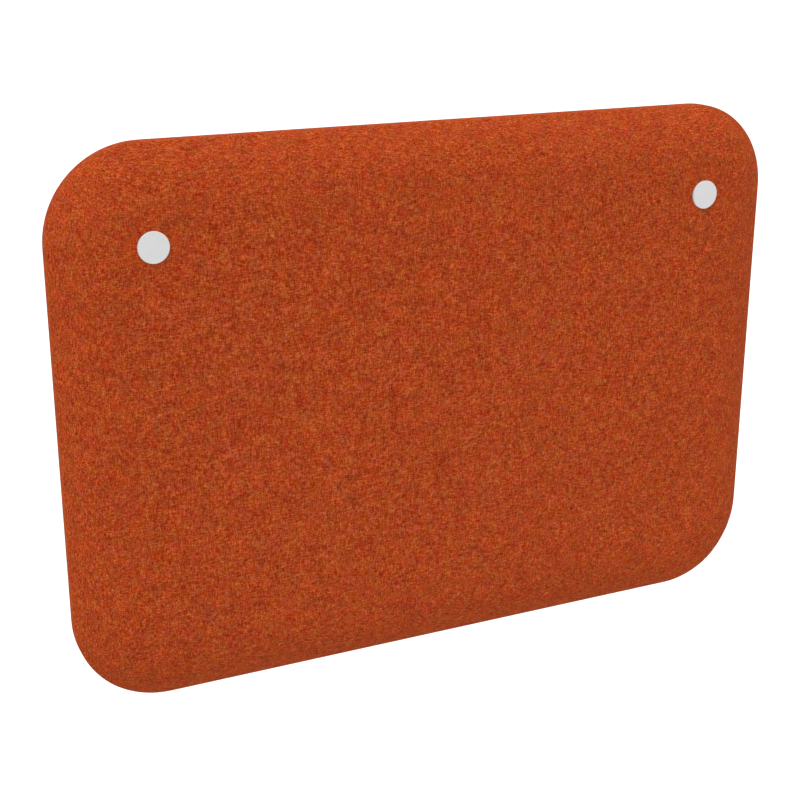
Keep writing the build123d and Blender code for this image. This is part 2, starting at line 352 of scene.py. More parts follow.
def crown_line(settings, inset, bottom):
    """Points down the crown at a depth below the felt's outer surface.

    They end at the side, or at the bottom where the crown meets that first.
    """
    width = settings.crown_width
    height = settings.crown_height
    radius = (width**2 + height**2) / (2 * height)
    axis_reach = settings.corner_radius - width
    axis_height = cover_high.z - radius
    side_angle = asin((width - inset) / (radius - inset))
    end = min(side_angle, acos((bottom - axis_height) / (radius - inset)))
    points = []
    for step in range(settings.crown_steps + 1):
        angle = end * step / settings.crown_steps
        reach = axis_reach + (radius - inset) * sin(angle)
        points.append(Vector((reach, axis_height + (radius - inset) * cos(angle))))
    return points


def turned_in_line(settings):
    """Profile of the front felt's outer surface, from the face round to its turned-in edge."""
    crown = crown_line(settings, 0.0, cover_low.z)
    crease = crown[-1]
    back = Vector((crease.x, cover_low.z))
    inner = Vector((crease.x - settings.turn_in, cover_low.z))
    fold_radius = 1.2 * settings.felt
    points = face_line(crown[0].x, crown[0].y, settings.mesh_step)
    points += crown[:-1]
    points += soft_edge(crown[-2], crease, back, settings.crease_radius)
    points.append((crease + back) / 2)
    points += soft_edge(crease, back, inner, fold_radius)
    tuck = points[-1]
    tuck_shares = (0.12, 0.26, 0.5, 0.75, 1.0)
    points += [tuck.lerp(inner, share) for share in tuck_shares]
    return points


def layer_line(settings, inset, bottom):
    """Profile of a layer's outer surface, from the face down to its lower edge."""
    crown = crown_line(settings, inset, bottom)
    points = face_line(crown[0].x, crown[0].y, settings.mesh_step) + crown
    if crown[-1].y > bottom + MERGE_DISTANCE:
        points.append(Vector((crown[-1].x, bottom)))
    return points


def foam_line(settings):
    """Profile round the foam, from its face over the crown and back under it."""
    inset = cover_high.z - foam_high.z
    bottom = foam_low.z
    points = layer_line(settings, inset, bottom)
    edge = points[-1].x
    inner = crown_line(settings, inset, bottom)[0].x
    steps = max(2, round((edge - inner) / settings.mesh_step))
    points += [Vector((edge + (inner - edge) * step / steps, bottom)) for step in range(1, steps)]
    points.append(Vector((inner, bottom)))
    points += reversed(face_line(inner, bottom, settings.mesh_step))
    return points


def fold_centre(settings):
    """Reach and height of the axis about which the rear felt's edge is folded."""
    inset = rear_low.x - cover_low.x
    return Vector((settings.corner_radius - inset - settings.felt, rear_low.z + settings.felt))


def hem_line(settings):
    """Profile of the rear felt's middle surface, out to its fold and back along the hem."""
    fold = fold_centre(settings)
    half = settings.felt / 2
    inner = settings.corner_radius - settings.turn_in
    steps = 6
    points = face_line(fold.x, fold.y - half, settings.mesh_step)
    for step in range(steps + 1):
        angle = pi * step / steps - pi / 2
        points.append(fold + half * Vector((cos(angle), sin(angle))))
    hem_shares = (0.075, 0.25, 0.5, 0.75, 1.0)
    points += [Vector((fold.x + (inner - fold.x) * share, fold.y + half)) for share in hem_shares]
    return points


def absorber_outline(settings):
    """The right absorber's outline on the bench, cut round the chamfered corner blocks."""
    gap = core_low.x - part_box("centre_stile")[1].x
    block = Vector((block_low.x - gap, block_low.y - gap))
    reach = settings.block_chamfer + gap * (2 - hypot(1, 1))
    upper = [
        (core_high.x, block.y),
        (block.x + reach, block.y),
        (block.x, block.y + reach),
        (block.x, core_high.y),
        (core_low.x, core_high.y),
    ]
    lower = [(x, -y) for x, y in reversed(upper)]
    return lower + upper


# Shells, holes and cloth


def swept_shell(settings, profile, closed=False):
    """A bench mesh from a profile that is swept round the panel.

    The profile starts at a corner's axis, and the rectangle between the axes is filled with a grid.
    A closed profile ends at the axis too and gets a second grid.
    """
    corner = corner_axis(settings)
    bm = bmesh.new()
    line = [bm.verts.new((corner.x + reach, -corner.y, height)) for reach, height in profile]
    geometry = line + [bm.edges.new(pair) for pair in zip(line, line[1:])]
    steps = [max(4, round(2 * size / settings.mesh_step)) for size in corner]
    # Up the right side, round the corner at its end, and on round the other three
    for side, (right, up) in enumerate(((1, 1), (-1, 1), (-1, -1), (1, -1))):
        turn = Matrix.Rotation(side * pi / 2, 3, "Z")
        along = 1 - side % 2
        run = turn @ Vector((0, 2 * corner[along] / steps[along], 0))
        made = bmesh.ops.spin(bm, geom=geometry, axis=(0, 0, 1), angle=0, dvec=run, steps=steps[along])
        made = bmesh.ops.spin(
            bm,
            geom=made["geom_last"],
            cent=(right * corner.x, up * corner.y, 0),
            axis=(0, 0, 1),
            angle=pi / 2,
            steps=settings.turn_steps,
        )
        geometry = made["geom_last"]
    ends = (profile[0], profile[-1]) if closed else (profile[0],)
    for end in ends:
        place = Matrix.Translation((0, 0, end.y)) @ Matrix.Diagonal((corner.x, corner.y, 1, 1))
        bmesh.ops.create_grid(bm, x_segments=steps[0], y_segments=steps[1], size=1, matrix=place)
    bmesh.ops.remove_doubles(bm, verts=bm.verts, dist=MERGE_DISTANCE)
    bmesh.ops.recalc_face_normals(bm, faces=bm.faces)
    return bm


def open_hole(bm, settings, centre, height, cut, radius):
    """Opens a round hole in the flat stretch about a corner's axis, and returns its rim's edges.

    The faces within the cut's distance of the axis make way for rings that lead to the hole.
    """
    corner = corner_axis(settings)
    side = Vector((1 if centre.x > 0 else -1, 1 if centre.y > 0 else -1))
    rings = 3

    def inside(face):
        middle = face.calc_center_median()
        across = side.x * middle.x - corner.x
        along = side.y * middle.y - corner.y
        reach = hypot(across, along) if across > 0 and along > 0 else max(abs(across), abs(along))
        return reach < cut and abs(middle.z - height) < MERGE_DISTANCE

    faces = [face for face in bm.faces if inside(face)]
    cut_out = set(faces)
    rim = [edge for edge in bm.edges if len(cut_out.intersection(edge.link_faces)) == 1]
    bmesh.ops.delete(bm, geom=faces, context="FACES")
    for ring in range(rings):
        share = 1 / (rings - ring)
        rim = extrude_rim(bm, rim, lambda co: co.lerp(on_circle(co, centre, radius, height), share))
    return rim


def open_socket_holes(bm, settings, height):
    """Opens the holes for both sockets in the flat face at a height."""
    for side in SIDES:
        centre = middle_of("cap_socket_" + side)
        open_hole(bm, settings, centre, height, SOCKET_CUT, settings.socket_hole / 2)


def on_circle(co, centre, radius, height):
    """The point of a level circle that lies on the same side of its centre."""
    middle = Vector((centre.x, centre.y, height))
    out = Vector((co.x - centre.x, co.y - centre.y, 0)).normalized()
    return middle + radius * out


def extrude_rim(bm, rim, moved):
    """Extrudes a rim once, puts the new points where moved says, and returns the new rim."""
    made = bmesh.ops.extrude_edge_only(bm, edges=rim)["geom"]
    for item in made:
        if isinstance(item, bmesh.types.BMVert):
            item.co = moved(item.co)
    return [item for item in made if isinstance(item, bmesh.types.BMEdge)]


def make_uneven(bm, settings):
    """Lets the padding rise and fall a little, though not on the sides or where a cap sits."""
    crease = cover_high.z - settings.crown_height
    cap_width = cap_high.x - cap_low.x
    centres = [middle_of("button_cap_" + side).xy for side in SIDES]
    for vert in bm.verts:
        up = (vert.co.z - crease) / settings.crown_height
        clear = min((vert.co.xy - centre).length for centre in centres) / cap_width - 0.5
        share = max(0.0, min(1.0, up)) * max(0.0, min(1.0, clear))
        rise = noise.noise(Vector((vert.co.x, vert.co.y, 0)) / settings.uneven_width)
        vert.co.z += share * settings.unevenness * rise


def round_the_panel(corner, reach, pitch):
    """Places about a pitch apart along the outline that lies at a reach from the corners' axes."""
    places = []
    for side in range(4):
        turn = Matrix.Rotation(side * pi / 2, 4, "Z")
        across, half = (corner.x, corner.y) if side % 2 == 0 else (corner.y, corner.x)
        steps = round(2 * half / pitch)
        for step in range(steps):
            places.append(turn @ Matrix.Translation((across, half * (2 * step / steps - 1), 0)))
        steps = round(pi / 2 * reach / pitch)
        for step in range(steps):
            bend = Matrix.Rotation(pi / 2 * step / steps, 4, "Z")
            places.append(turn @ Matrix.Translation((across, half, 0)) @ bend)
    return places


def repeated(shape, places):
    """One bench mesh with a copy of a shape at every place."""
    mesh = bpy.data.meshes.new("shape")
    shape.to_mesh(mesh)
    shape.free()
    bm = bmesh.new()
    for place in places:
        mesh.transform(place)
        bm.from_mesh(mesh)
        mesh.transform(place.inverted())
    bpy.data.meshes.remove(mesh)
    return bm


def finished(name, bm, slot, finish=None):
    """A piece of the panel from a bench mesh: stood up, with its slot's or another finish.

    Spin leaves its faces in any order. They are put in order, so that each run simulates the same.
    """
    bm.verts.index_update()
    faces = []
    for face in bm.faces:
        corners = [vert.index for vert in face.verts]
        first = corners.index(min(corners))
        faces.append(corners[first:] + corners[:first])
    mesh = bpy.data.meshes.new(name)
    mesh.from_pydata([STAND_UP @ vert.co for vert in bm.verts], [], sorted(faces), shade_flat=False)
    bm.free()
    mesh.materials.append(bpy.data.materials[(finish or slot) + FINISH])
    piece = bpy.data.objects.new(name, mesh)
    bpy.context.scene.collection.objects.link(piece)
    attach(piece, "panel")
    return piece


def settle(piece, settings):
    """Lets the padding press the stretched felt out as cloth, held at its sides and its sockets.

    The move of each point levels off at the swell, and the result is kept in the mesh.
    """
    crease = -(cover_high.z - settings.crown_height)
    centres = [STAND_UP @ middle_of("cap_socket_" + side) for side in SIDES]
    held = piece.vertex_groups.new(name="held")
    for vert in piece.data.vertices:
        reach = min((vert.co.xz - centre.xz).length for centre in centres)
        if vert.co.y > crease or reach < settings.clamped_reach:
            held.add([vert.index], 1.0, "REPLACE")
    cloth = piece.modifiers.new("Cloth", "CLOTH")
    cloth.settings.vertex_group_mass = held.name
    cloth.settings.tension_stiffness = 40
    cloth.settings.compression_stiffness = 40
    cloth.settings.bending_stiffness = 5
    cloth.settings.use_pressure = True
    cloth.settings.uniform_pressure_force = settings.pressure
    cloth.settings.effector_weights.gravity = 0
    scene = bpy.context.scene
    steps = 20
    for number in range(1, steps + 1):
        scene.frame_set(number)
    swollen = piece.evaluated_get(bpy.context.evaluated_depsgraph_get()).data
    points = [vert.co.copy() for vert in swollen.vertices]
    piece.modifiers.remove(cloth)
    piece.vertex_groups.remove(held)
    scene.frame_set(1)
    for vert, point in zip(piece.data.vertices, points):
        move = point - vert.co
        vert.co += move / (1 + move.length / settings.swell)


def add_modifier(piece, kind, **settings):
    """A modifier of a piece, with its settings."""
    modifier = piece.modifiers.new(kind.title(), kind)
    for name, value in settings.items():
        setattr(modifier, name, value)


# Shader nodes


def set_inputs(tree, node, inputs):
    """Sets a node's inputs to values, or links them from sockets."""
    for name, value in inputs.items():
        socket = node.inputs[name]
        if isinstance(value, bpy.types.NodeSocket):
            tree.links.new(value, socket)
        else:
            socket.default_value = value


def add(tree, kind, inputs, **settings):
    """A new shader node with its settings and inputs."""
    made = tree.nodes.new("ShaderNode" + kind)
    for name, value in settings.items():
        setattr(made, name, value)
    set_inputs(tree, made, inputs)
    return made


def place_group(tree, name, inputs):
    """The outputs of a node group that is placed in a material with its own values."""
    return add(tree, "Group", inputs, node_tree=bpy.data.node_groups[name]).outputs


def new_group(name, inputs, outputs):
    """An empty shader node group, the sockets that it is given, and the node of its outputs."""
    group = bpy.data.node_groups.new(name, "ShaderNodeTree")
    for direction, sockets in (("INPUT", inputs), ("OUTPUT", outputs)):
        for socket_name, kind in sockets.items():
            group.interface.new_socket(socket_name, in_out=direction, socket_type="NodeSocket" + kind)
    given = group.nodes.new("NodeGroupInput").outputs
    return group, given, group.nodes.new("NodeGroupOutput")


def new_material(name):
    """A finish's node tree, its Principled BSDF and its Object coordinates."""
    material = bpy.data.materials.new(name + FINISH)
    material.use_nodes = True
    tree = material.node_tree
    place = add(tree, "TexCoord", {}).outputs["Object"]
    return tree, tree.nodes["Principled BSDF"], place


def rgba(colour):
    """A colour with its alpha."""
    return (*colour, 1.0)


def math_value(tree, operation, first, second=0.5):
    """The result of a Math node."""
    return add(tree, "Math", {0: first, 1: second}, operation=operation).outputs[0]


def weighted_sum(tree, parts):
    """The sum of values, each of which counts by its share."""
    total = 0.0
    for value, share in parts:
        total = math_value(tree, "ADD", math_value(tree, "MULTIPLY", value, share), total)
    return total


def vector_math(tree, operation, first, second=(0, 0, 0)):
    """The vector of a Vector Math node."""
    return add(tree, "VectorMath", {0: first, 1: second}, operation=operation).outputs["Vector"]


def stretched(tree, vector, scale):
    """A vector that is scaled along each axis."""
    return add(tree, "Mapping", {"Vector": vector, "Scale": scale}).outputs[0]


def noise_value(tree, vector, scale, detail, roughness=0.5):
    """The value of a Noise Texture."""
    inputs = {"Vector": vector, "Scale": scale, "Detail": detail, "Roughness": roughness}
    return add(tree, "TexNoise", inputs).outputs["Fac"]


def clamped(tree, value):
    """A value held between 0 and 1."""
    return add(tree, "Clamp", {"Value": value}).outputs[0]


def ranged(tree, value, low, high):
    """A value of 0 to 1 that now runs from low to high."""
    return add(tree, "MapRange", {"Value": value, "To Min": low, "To Max": high}).outputs[0]


def ramp(tree, factor, stops):
    """The colour of a Color Ramp with two stops of (place, colour)."""
    made = add(tree, "ValToRGB", {"Fac": factor})
    for element, (place, colour) in zip(made.color_ramp.elements, stops):
        element.position = place
        element.color = rgba(colour)
    return made.outputs["Color"]


def mixed(tree, factor, first, second, blend="MIX"):
    """The mix of two colours."""
    inputs = {0: factor, 6: first, 7: second}
    return add(tree, "Mix", inputs, data_type="RGBA", blend_type=blend).outputs[2]


def mix_values(tree, factor, first, second):
    """The mix of two values."""
    return add(tree, "Mix", {0: factor, 2: first, 3: second}).outputs[0]


def bumped(tree, height, distance, strength=0.5):
    """A bump normal from a height."""
    inputs = {"Height": height, "Distance": distance, "Strength": strength}
    return add(tree, "Bump", inputs).outputs["Normal"]


# Node groups


def melange_group():
    """Milled wool cloth: flecks of several colours, laid fibres and soft patches."""
    group, given, out = new_group(
        "Melange",
        {
            "Vector": "Vector",
            "Fleck Scale": "Float",
            "Patch Scale": "Float",
            "Contrast": "Float",
            "Dark": "Color",
            "Body": "Color",
            "Light": "Color",
        },
        {"Color": "Color", "Height": "Float"},
    )
    place = given["Vector"]
    scale = given["Fleck Scale"]
    from_middle = math_value(group, "SUBTRACT", fleck_value(group, place, scale), 0.5)
    spread = math_value(group, "MULTIPLY", from_middle, given["Contrast"])
    dark_share = clamped(group, math_value(group, "MULTIPLY", spread, -1.0))
    low = mixed(group, dark_share, given["Body"], given["Dark"])
    flecked = mixed(group, clamped(group, spread), low, given["Light"])
    colour, nap = with_fibres(group, place, scale, flecked)
    tint = patch_tint(group, place, given["Patch Scale"])
    set_inputs(group, out, {"Color": mixed(group, 1.0, colour, tint, "MULTIPLY"), "Height": nap})


def fleck_value(group, place, scale):
    """A value whose middle is 0.5: curled fibres, yarns both ways and a little of single cells."""
    yarn_scale = math_value(group, "MULTIPLY", scale, 1.2)
    parts = [(noise_value(group, place, scale, detail=7.0, roughness=0.8), 0.35)]
    for yarn_stretch in ((0.22, 1, 1), (1, 1, 0.22)):
        along = stretched(group, place, yarn_stretch)
        parts.append((noise_value(group, along, yarn_scale, detail=3.0), 0.3))
    cells = add(group, "TexVoronoi", {"Vector": place, "Scale": scale}).outputs["Color"]
    parts.append((add(group, "SeparateColor", {"Color": cells}).outputs["Red"], 0.05))
    return weighted_sum(group, parts)


def with_fibres(group, place, scale, colour):
    """The colour with dark and light fibres laid over it four ways, and the height of the nap."""
    dark_fibre = (0.84, 0.7, 0.54)
    light_fibre = (1.25, 1.5, 1.9)
    length = 7
    thinness = 22.0
    fine_scale = math_value(group, "MULTIPLY", scale, 2.5)
    nap = noise_value(group, place, fine_scale, detail=3.0, roughness=0.6)
    for angle, tone in ((0.6, dark_fibre), (1.4, light_fibre), (2.5, dark_fibre), (3.4, light_fibre)):
        turned = {"Vector": place, "Rotation": (0, angle, 0), "Scale": (length, 1, 1)}
        along = add(group, "Mapping", turned, vector_type="TEXTURE").outputs[0]
        wander = noise_value(group, along, fine_scale, detail=1.0)
        away = math_value(group, "ABSOLUTE", math_value(group, "SUBTRACT", wander, 0.5))
        slope = math_value(group, "MULTIPLY", away, thinness)
        fibre = clamped(group, math_value(group, "SUBTRACT", 1.0, slope))
        colour = mixed(group, fibre, colour, rgba(tone), "MULTIPLY")
        nap = math_value(group, "MAXIMUM", nap, fibre)
    return colour, nap


def patch_tint(group, place, scale):
    """A tint that drifts in soft patches from cool to warm and from red to olive."""
    inputs = {"Vector": place, "Scale": scale, "Detail": 2.0, "Roughness": 0.6}
    patch = add(group, "TexNoise", inputs).outputs["Color"]
    hues = add(group, "SeparateColor", {"Color": patch}).outputs
    warm = ramp(group, hues["Green"], [(0.32, (0.91, 0.82, 1.1)), (0.68, (1.09, 1.18, 0.9))])
    olive = ramp(group, hues["Red"], [(0.32, (1.1, 0.94, 1.0)), (0.68, (0.9, 1.06, 1.0))])
    return mixed(group, 1.0, warm, olive, "MULTIPLY")


def wood_group():
    """Growth rings and pores of sawn wood whose grain runs along the vector's Z."""
    group, given, out = new_group(
        "Wood grain",
        {"Vector": "Vector", "Ring Scale": "Float", "Early": "Color", "Late": "Color"},
        {"Color": "Color", "Height": "Float"},
    )
    lengthways = stretched(group, given["Vector"], (1, 1, 0.06))
    wave = {
        "Vector": lengthways,
        "Scale": given["Ring Scale"],
        "Distortion": 9.0,
        "Detail": 2.0,
        "Detail Scale": 0.6,
    }
    rings = add(group, "TexWave", wave, bands_direction="DIAGONAL").outputs["Fac"]
    pores = noise_value(group, lengthways, 900.0, detail=3.0)
    grain = weighted_sum(group, [(rings, 0.75), (pores, 0.25)])
    colour = mixed(group, grain, given["Late"], given["Early"])
    set_inputs(group, out, {"Color": colour, "Height": grain})


def mat_group():
    """A soft mat of matted fibres or fine cells."""
    group, given, out = new_group(
        "Soft mat",
        {"Vector": "Vector", "Scale": "Float", "Low": "Color", "High": "Color", "Cells": "Float"},
        {"Color": "Color", "Height": "Float"},
    )
    vector = {"Vector": given["Vector"], "Scale": given["Scale"]}
    curled = {**vector, "Detail": 6.0, "Roughness": 0.75, "Distortion": 1.5}
    fibres = add(group, "TexNoise", curled).outputs["Fac"]
    cells = add(group, "TexVoronoi", vector).outputs["Distance"]
    height = mix_values(group, given["Cells"], fibres, cells)
    clouds = noise_value(group, given["Vector"], 12.0, detail=2.0)
    tone = weighted_sum(group, [(height, 0.6), (clouds, 0.4)])
    colour = mixed(group, tone, given["Low"], given["High"])
    set_inputs(group, out, {"Color": colour, "Height": height})


def metal_group():
    """Plated steel: fine streaks and dull patches."""
    group, given, out = new_group(
        "Plated steel",
        {"Vector": "Vector", "Dull": "Color", "Bright": "Color"},
        {"Color": "Color", "Roughness": "Float", "Height": "Float"},
    )
    patches = noise_value(group, given["Vector"], 160.0, detail=4.0)
    lengthways = stretched(group, given["Vector"], (1, 12, 1))
    made = {
        "Color": mixed(group, patches, given["Dull"], given["Bright"]),
        "Roughness": ranged(group, patches, 0.28, 0.48),
        "Height": noise_value(group, lengthways, 700.0, detail=2.0),
    }
    set_inputs(group, out, made)


def turned_group():
    """Steel turned about the axis of the nearer fixing: fine rings that catch the light."""
    group, given, out = new_group(
        "Turned steel",
        {"Vector": "Vector", "Axis": "Vector", "Dull": "Color", "Bright": "Color"},
        {"Color": "Color", "Roughness": "Float", "Height": "Float"},
    )
    mirrored = vector_math(group, "ABSOLUTE", given["Vector"])
    out_from_axis = vector_math(group, "SUBTRACT", mirrored, given["Axis"])
    flat = vector_math(group, "MULTIPLY", out_from_axis, (1, 0, 1))
    radius = add(group, "VectorMath", {0: flat}, operation="LENGTH").outputs["Value"]
    along_radius = {"W": radius, "Scale": 2200.0, "Detail": 3.0}
    rings = add(group, "TexNoise", along_radius, noise_dimensions="1D").outputs["Fac"]
    patches = noise_value(group, given["Vector"], 120.0, detail=4.0, roughness=0.6)
    tone = mix_values(group, 0.4, rings, patches)
    made = {
        "Color": mixed(group, tone, given["Dull"], given["Bright"]),
        "Roughness": ranged(group, tone, 0.22, 0.45),
        "Height": rings,
    }
    set_inputs(group, out, made)


def plastic_group():
    """Moulded plastic with a fine eroded texture and faint clouds."""
    group, given, out = new_group(
        "Moulded plastic",
        {"Vector": "Vector", "Low": "Color", "High": "Color"},
        {"Color": "Color", "Roughness": "Float", "Height": "Float"},
    )
    clouds = noise_value(group, given["Vector"], 70.0, detail=2.0)
    grain = noise_value(group, given["Vector"], 2500.0, detail=2.0)
    made = {
        "Color": mixed(group, clouds, given["Low"], given["High"]),
        "Roughness": ranged(group, grain, 0.4, 0.6),
        "Height": grain,
    }
    set_inputs(group, out, made)


# Finishes


def felt_finish(colours):
    """Thick wool felt, in a melange of rust, orange, dark red and olive fibres."""
    tree, shader, place = new_material("felt")
    melange = {
        "Vector": place,
        "Fleck Scale": 620.0,
        "Patch Scale": 80.0,
        "Contrast": 9.3,
        "Dark": rgba(colours.felt_dark),
        "Body": rgba(colours.felt_body),
        "Light": rgba(colours.felt_light),
    }
    felt = place_group(tree, "Melange", melange)
    inputs = {
        "Base Color": felt["Color"],
        "Roughness": 0.95,
        "Specular IOR Level": 0.03,
        "Sheen Weight": 0.06,
        "Sheen Roughness": 0.4,
        "Sheen Tint": (1.0, 0.5, 0.15, 1.0),
        "Normal": bumped(tree, felt["Height"], 0.0004),
    }
    set_inputs(tree, shader, inputs)


def thread_finish(colours):
    """Sewing thread of about the felt's colour, with its twist."""
    tree, shader, place = new_material("thread")
    twist = add(tree, "TexWave", {"Vector": place, "Scale": 400.0, "Distortion": 2.0}).outputs["Fac"]
    inputs = {
        "Base Color": mixed(tree, twist, rgba(colours.felt_body), rgba(colours.felt_light)),
        "Roughness": 0.7,
        "Specular IOR Level": 0.1,
        "Normal": bumped(tree, twist, 0.0001),
    }
    set_inputs(tree, shader, inputs)


def mat_finish(name, low, high, scale, cells):
    """Wadding, foam or absorber."""
    tree, shader, place = new_material(name)
    given = {"Vector": place, "Scale": scale, "Low": rgba(low), "High": rgba(high), "Cells": cells}
    mat = place_group(tree, "Soft mat", given)
    inputs = {
        "Base Color": mat["Color"],
        "Roughness": 0.95,
        "Specular IOR Level": 0.2,
        "Normal": bumped(tree, mat["Height"], 0.0008, 0.7),
    }
    set_inputs(tree, shader, inputs)


def wood_finish(name, early, late, ring_scale, turn=(0, 0, 0)):
    """Planed wood with its grain along the frame's Z, or turned from it."""
    tree, shader, place = new_material(name)
    turned = add(tree, "Mapping", {"Vector": place, "Rotation": turn}).outputs[0]
    given = {"Vector": turned, "Ring Scale": ring_scale, "Early": rgba(early), "Late": rgba(late)}
    wood = place_group(tree, "Wood grain", given)
    normal = bumped(tree, wood["Height"], 0.0002)
    set_inputs(tree, shader, {"Base Color": wood["Color"], "Roughness": 0.7, "Normal": normal})


def metal_finish(name, dull, bright, group="Plated steel", **more):
    """Plated or turned steel."""
    tree, shader, place = new_material(name)
    given = {"Vector": place, "Dull": rgba(dull), "Bright": rgba(bright), **more}
    metal = place_group(tree, group, given)
    inputs = {
        "Base Color": metal["Color"],
        "Metallic": 1.0,
        "Roughness": metal["Roughness"],
        "Normal": bumped(tree, metal["Height"], 0.00003, 0.4),
    }
    set_inputs(tree, shader, inputs)


def plastic_finish(name, colour):
    """Moulded plastic of one colour."""
    tree, shader, place = new_material(name)
    low = rgba(0.96 * value for value in colour)
    high = rgba(min(1.0, 1.03 * value) for value in colour)
    plastic = place_group(tree, "Moulded plastic", {"Vector": place, "Low": low, "High": high})
    inputs = {
        "Base Color": plastic["Color"],
        "Roughness": plastic["Roughness"],
        "Normal": bumped(tree, plastic["Height"], 0.00004, 0.3),
    }
    set_inputs(tree, shader, inputs)


def make_groups():
    """Every node group that the finishes use."""
    melange_group()
    wood_group()
    mat_group()
    metal_group()
    turned_group()
    plastic_group()


def make_finishes(colours):
    """Every material of the panel."""
    felt_finish(colours)
    thread_finish(colours)
    mat_finish("wadding", (0.78, 0.78, 0.75), (0.9, 0.9, 0.88), 500.0, 0.0)
    mat_finish("foam", (0.22, 0.23, 0.24), (0.34, 0.35, 0.36), 900.0, 1.0)
    mat_finish("absorber", (0.52, 0.52, 0.48), (0.72, 0.72, 0.68), 350.0, 0.0)
    across = (0, radians(90), 0)
    leaning = (0, radians(98), 0)
    wood_finish("frame_wood_stile", (0.68, 0.47, 0.27), (0.54, 0.34, 0.18), 34.0)
    wood_finish("frame_wood_rail", (0.68, 0.47, 0.27), (0.54, 0.34, 0.18), 34.0, across)
    wood_finish("frame_wood_corner", (0.71, 0.5, 0.3), (0.57, 0.37, 0.2), 30.0, leaning)
    wood_finish("birch_plywood", (0.72, 0.54, 0.34), (0.6, 0.42, 0.25), 30.0, across)
    wood_finish("beech", (0.63, 0.4, 0.21), (0.5, 0.29, 0.14), 90.0)
    metal_finish("zinc_steel", (0.34, 0.34, 0.32), (0.58, 0.57, 0.54))
    axis = STAND_UP @ middle_of("fixing_barrel_right")
    metal_finish("barrel_steel", (0.26, 0.27, 0.28), (0.5, 0.51, 0.53), "Turned steel", Axis=axis)
    plastic_finish("socket_plastic", (0.7, 0.7, 0.7))
    plastic_finish("cap_plastic", colours.cap)


# Operators


class PANEL_OT_finishes(bpy.types.Operator):
    """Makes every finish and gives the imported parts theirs"""

    bl_idname = "screen_panel.finishes"
    bl_label = "Finishes"

    def execute(self, context):
        make_groups()
        make_finishes(context.scene.colour_settings)
        for name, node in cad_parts.items():
            for place in node.material_slots:
                slot = place.material.name
                if slot == "frame_wood":
                    slot += "_" + next(kind for kind in ("stile", "rail", "corner") if kind in name)
                place.material = bpy.data.materials[slot + FINISH]
        return {"FINISHED"}


class PANEL_OT_absorbers(bpy.types.Operator):
    """Fills both bays of the frame with an absorber cut round the corner blocks"""

    bl_idname = "screen_panel.absorbers"
    bl_label = "Absorbers"

    def execute(self, context):
        padding = context.scene.padding_settings
        for side, turn in zip(SIDES, (-1, 1)):
            bm = bmesh.new()
            outline = [bm.verts.new((turn * x, y, core_low.z)) for x, y in absorber_outline(padding)]
            face = bm.faces.new(outline)
            made = bmesh.ops.extrude_face_region(bm, geom=[face])["geom"]
            top = [item for item in made if isinstance(item, bmesh.types.BMVert)]
            bmesh.ops.translate(bm, vec=(0, 0, core_high.z - core_low.z), verts=top)
            bmesh.ops.recalc_face_normals(bm, faces=bm.faces)
            piece = finished("absorber_" + side, bm, "absorber")
            add_modifier(piece, "BEVEL", width=padding.absorber_edge, segments=3)
            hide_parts("core_" + side)
        return {"FINISHED"}


class PANEL_OT_foam(bpy.types.Operator):
    """Shapes the crowned foam on the front of the frame"""

    bl_idname = "screen_panel.foam"
    bl_label = "Foam"

    def execute(self, context):
        padding = context.scene.padding_settings
        bm = swept_shell(padding, foam_line(padding), closed=True)
        seat = barrel_high.z
        wide = padding.socket_hole / 2
        narrow = padding.barrel_hole / 2
        for side in SIDES:
            centre = middle_of("cap_socket_" + side)
            open_hole(bm, padding, centre, foam_low.z, SOCKET_CUT, narrow)
            rim = open_hole(bm, padding, centre, foam_high.z, SOCKET_CUT, wide)
            for radius, height in ((wide, seat), (narrow, seat), (narrow, foam_low.z)):
                rim = extrude_rim(bm, rim, lambda co: on_circle(co, centre, radius, height))
        bmesh.ops.remove_doubles(bm, verts=bm.verts, dist=MERGE_DISTANCE)
        bmesh.ops.recalc_face_normals(bm, faces=bm.faces)
        make_uneven(bm, padding)
        piece = finished("foam", bm, "foam")
        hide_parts("foam_pad")
        return {"FINISHED"}


class PANEL_OT_wadding(bpy.types.Operator):
    """Lays the wadding over the foam"""

    bl_idname = "screen_panel.wadding"
    bl_label = "Wadding"

    def execute(self, context):
        padding = context.scene.padding_settings
        inset = wadding_low.x - cover_low.x
        bm = swept_shell(padding, layer_line(padding, inset, wadding_low.z))
        open_socket_holes(bm, padding, wadding_high.z)
        make_uneven(bm, padding)
        piece = finished("wadding", bm, "wadding")
        add_modifier(piece, "SOLIDIFY", thickness=padding.wadding, offset=-1.0)
        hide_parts("wadding_layer")
        return {"FINISHED"}


class PANEL_OT_front_felt(bpy.types.Operator):
    """Stretches the front felt over the crown and turns it in behind the frame"""

    bl_idname = "screen_panel.front_felt"
    bl_label = "Front felt"

    def execute(self, context):
        padding = context.scene.padding_settings
        bm = swept_shell(padding, turned_in_line(padding))
        open_socket_holes(bm, padding, cover_high.z)
        make_uneven(bm, padding)
        piece = finished("front_felt", bm, "felt")
        settle(piece, padding)
        add_modifier(piece, "SOLIDIFY", thickness=padding.felt, offset=-1.0)
        add_modifier(piece, "SUBSURF", levels=1, render_levels=1)
        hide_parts("front_cover")
        return {"FINISHED"}


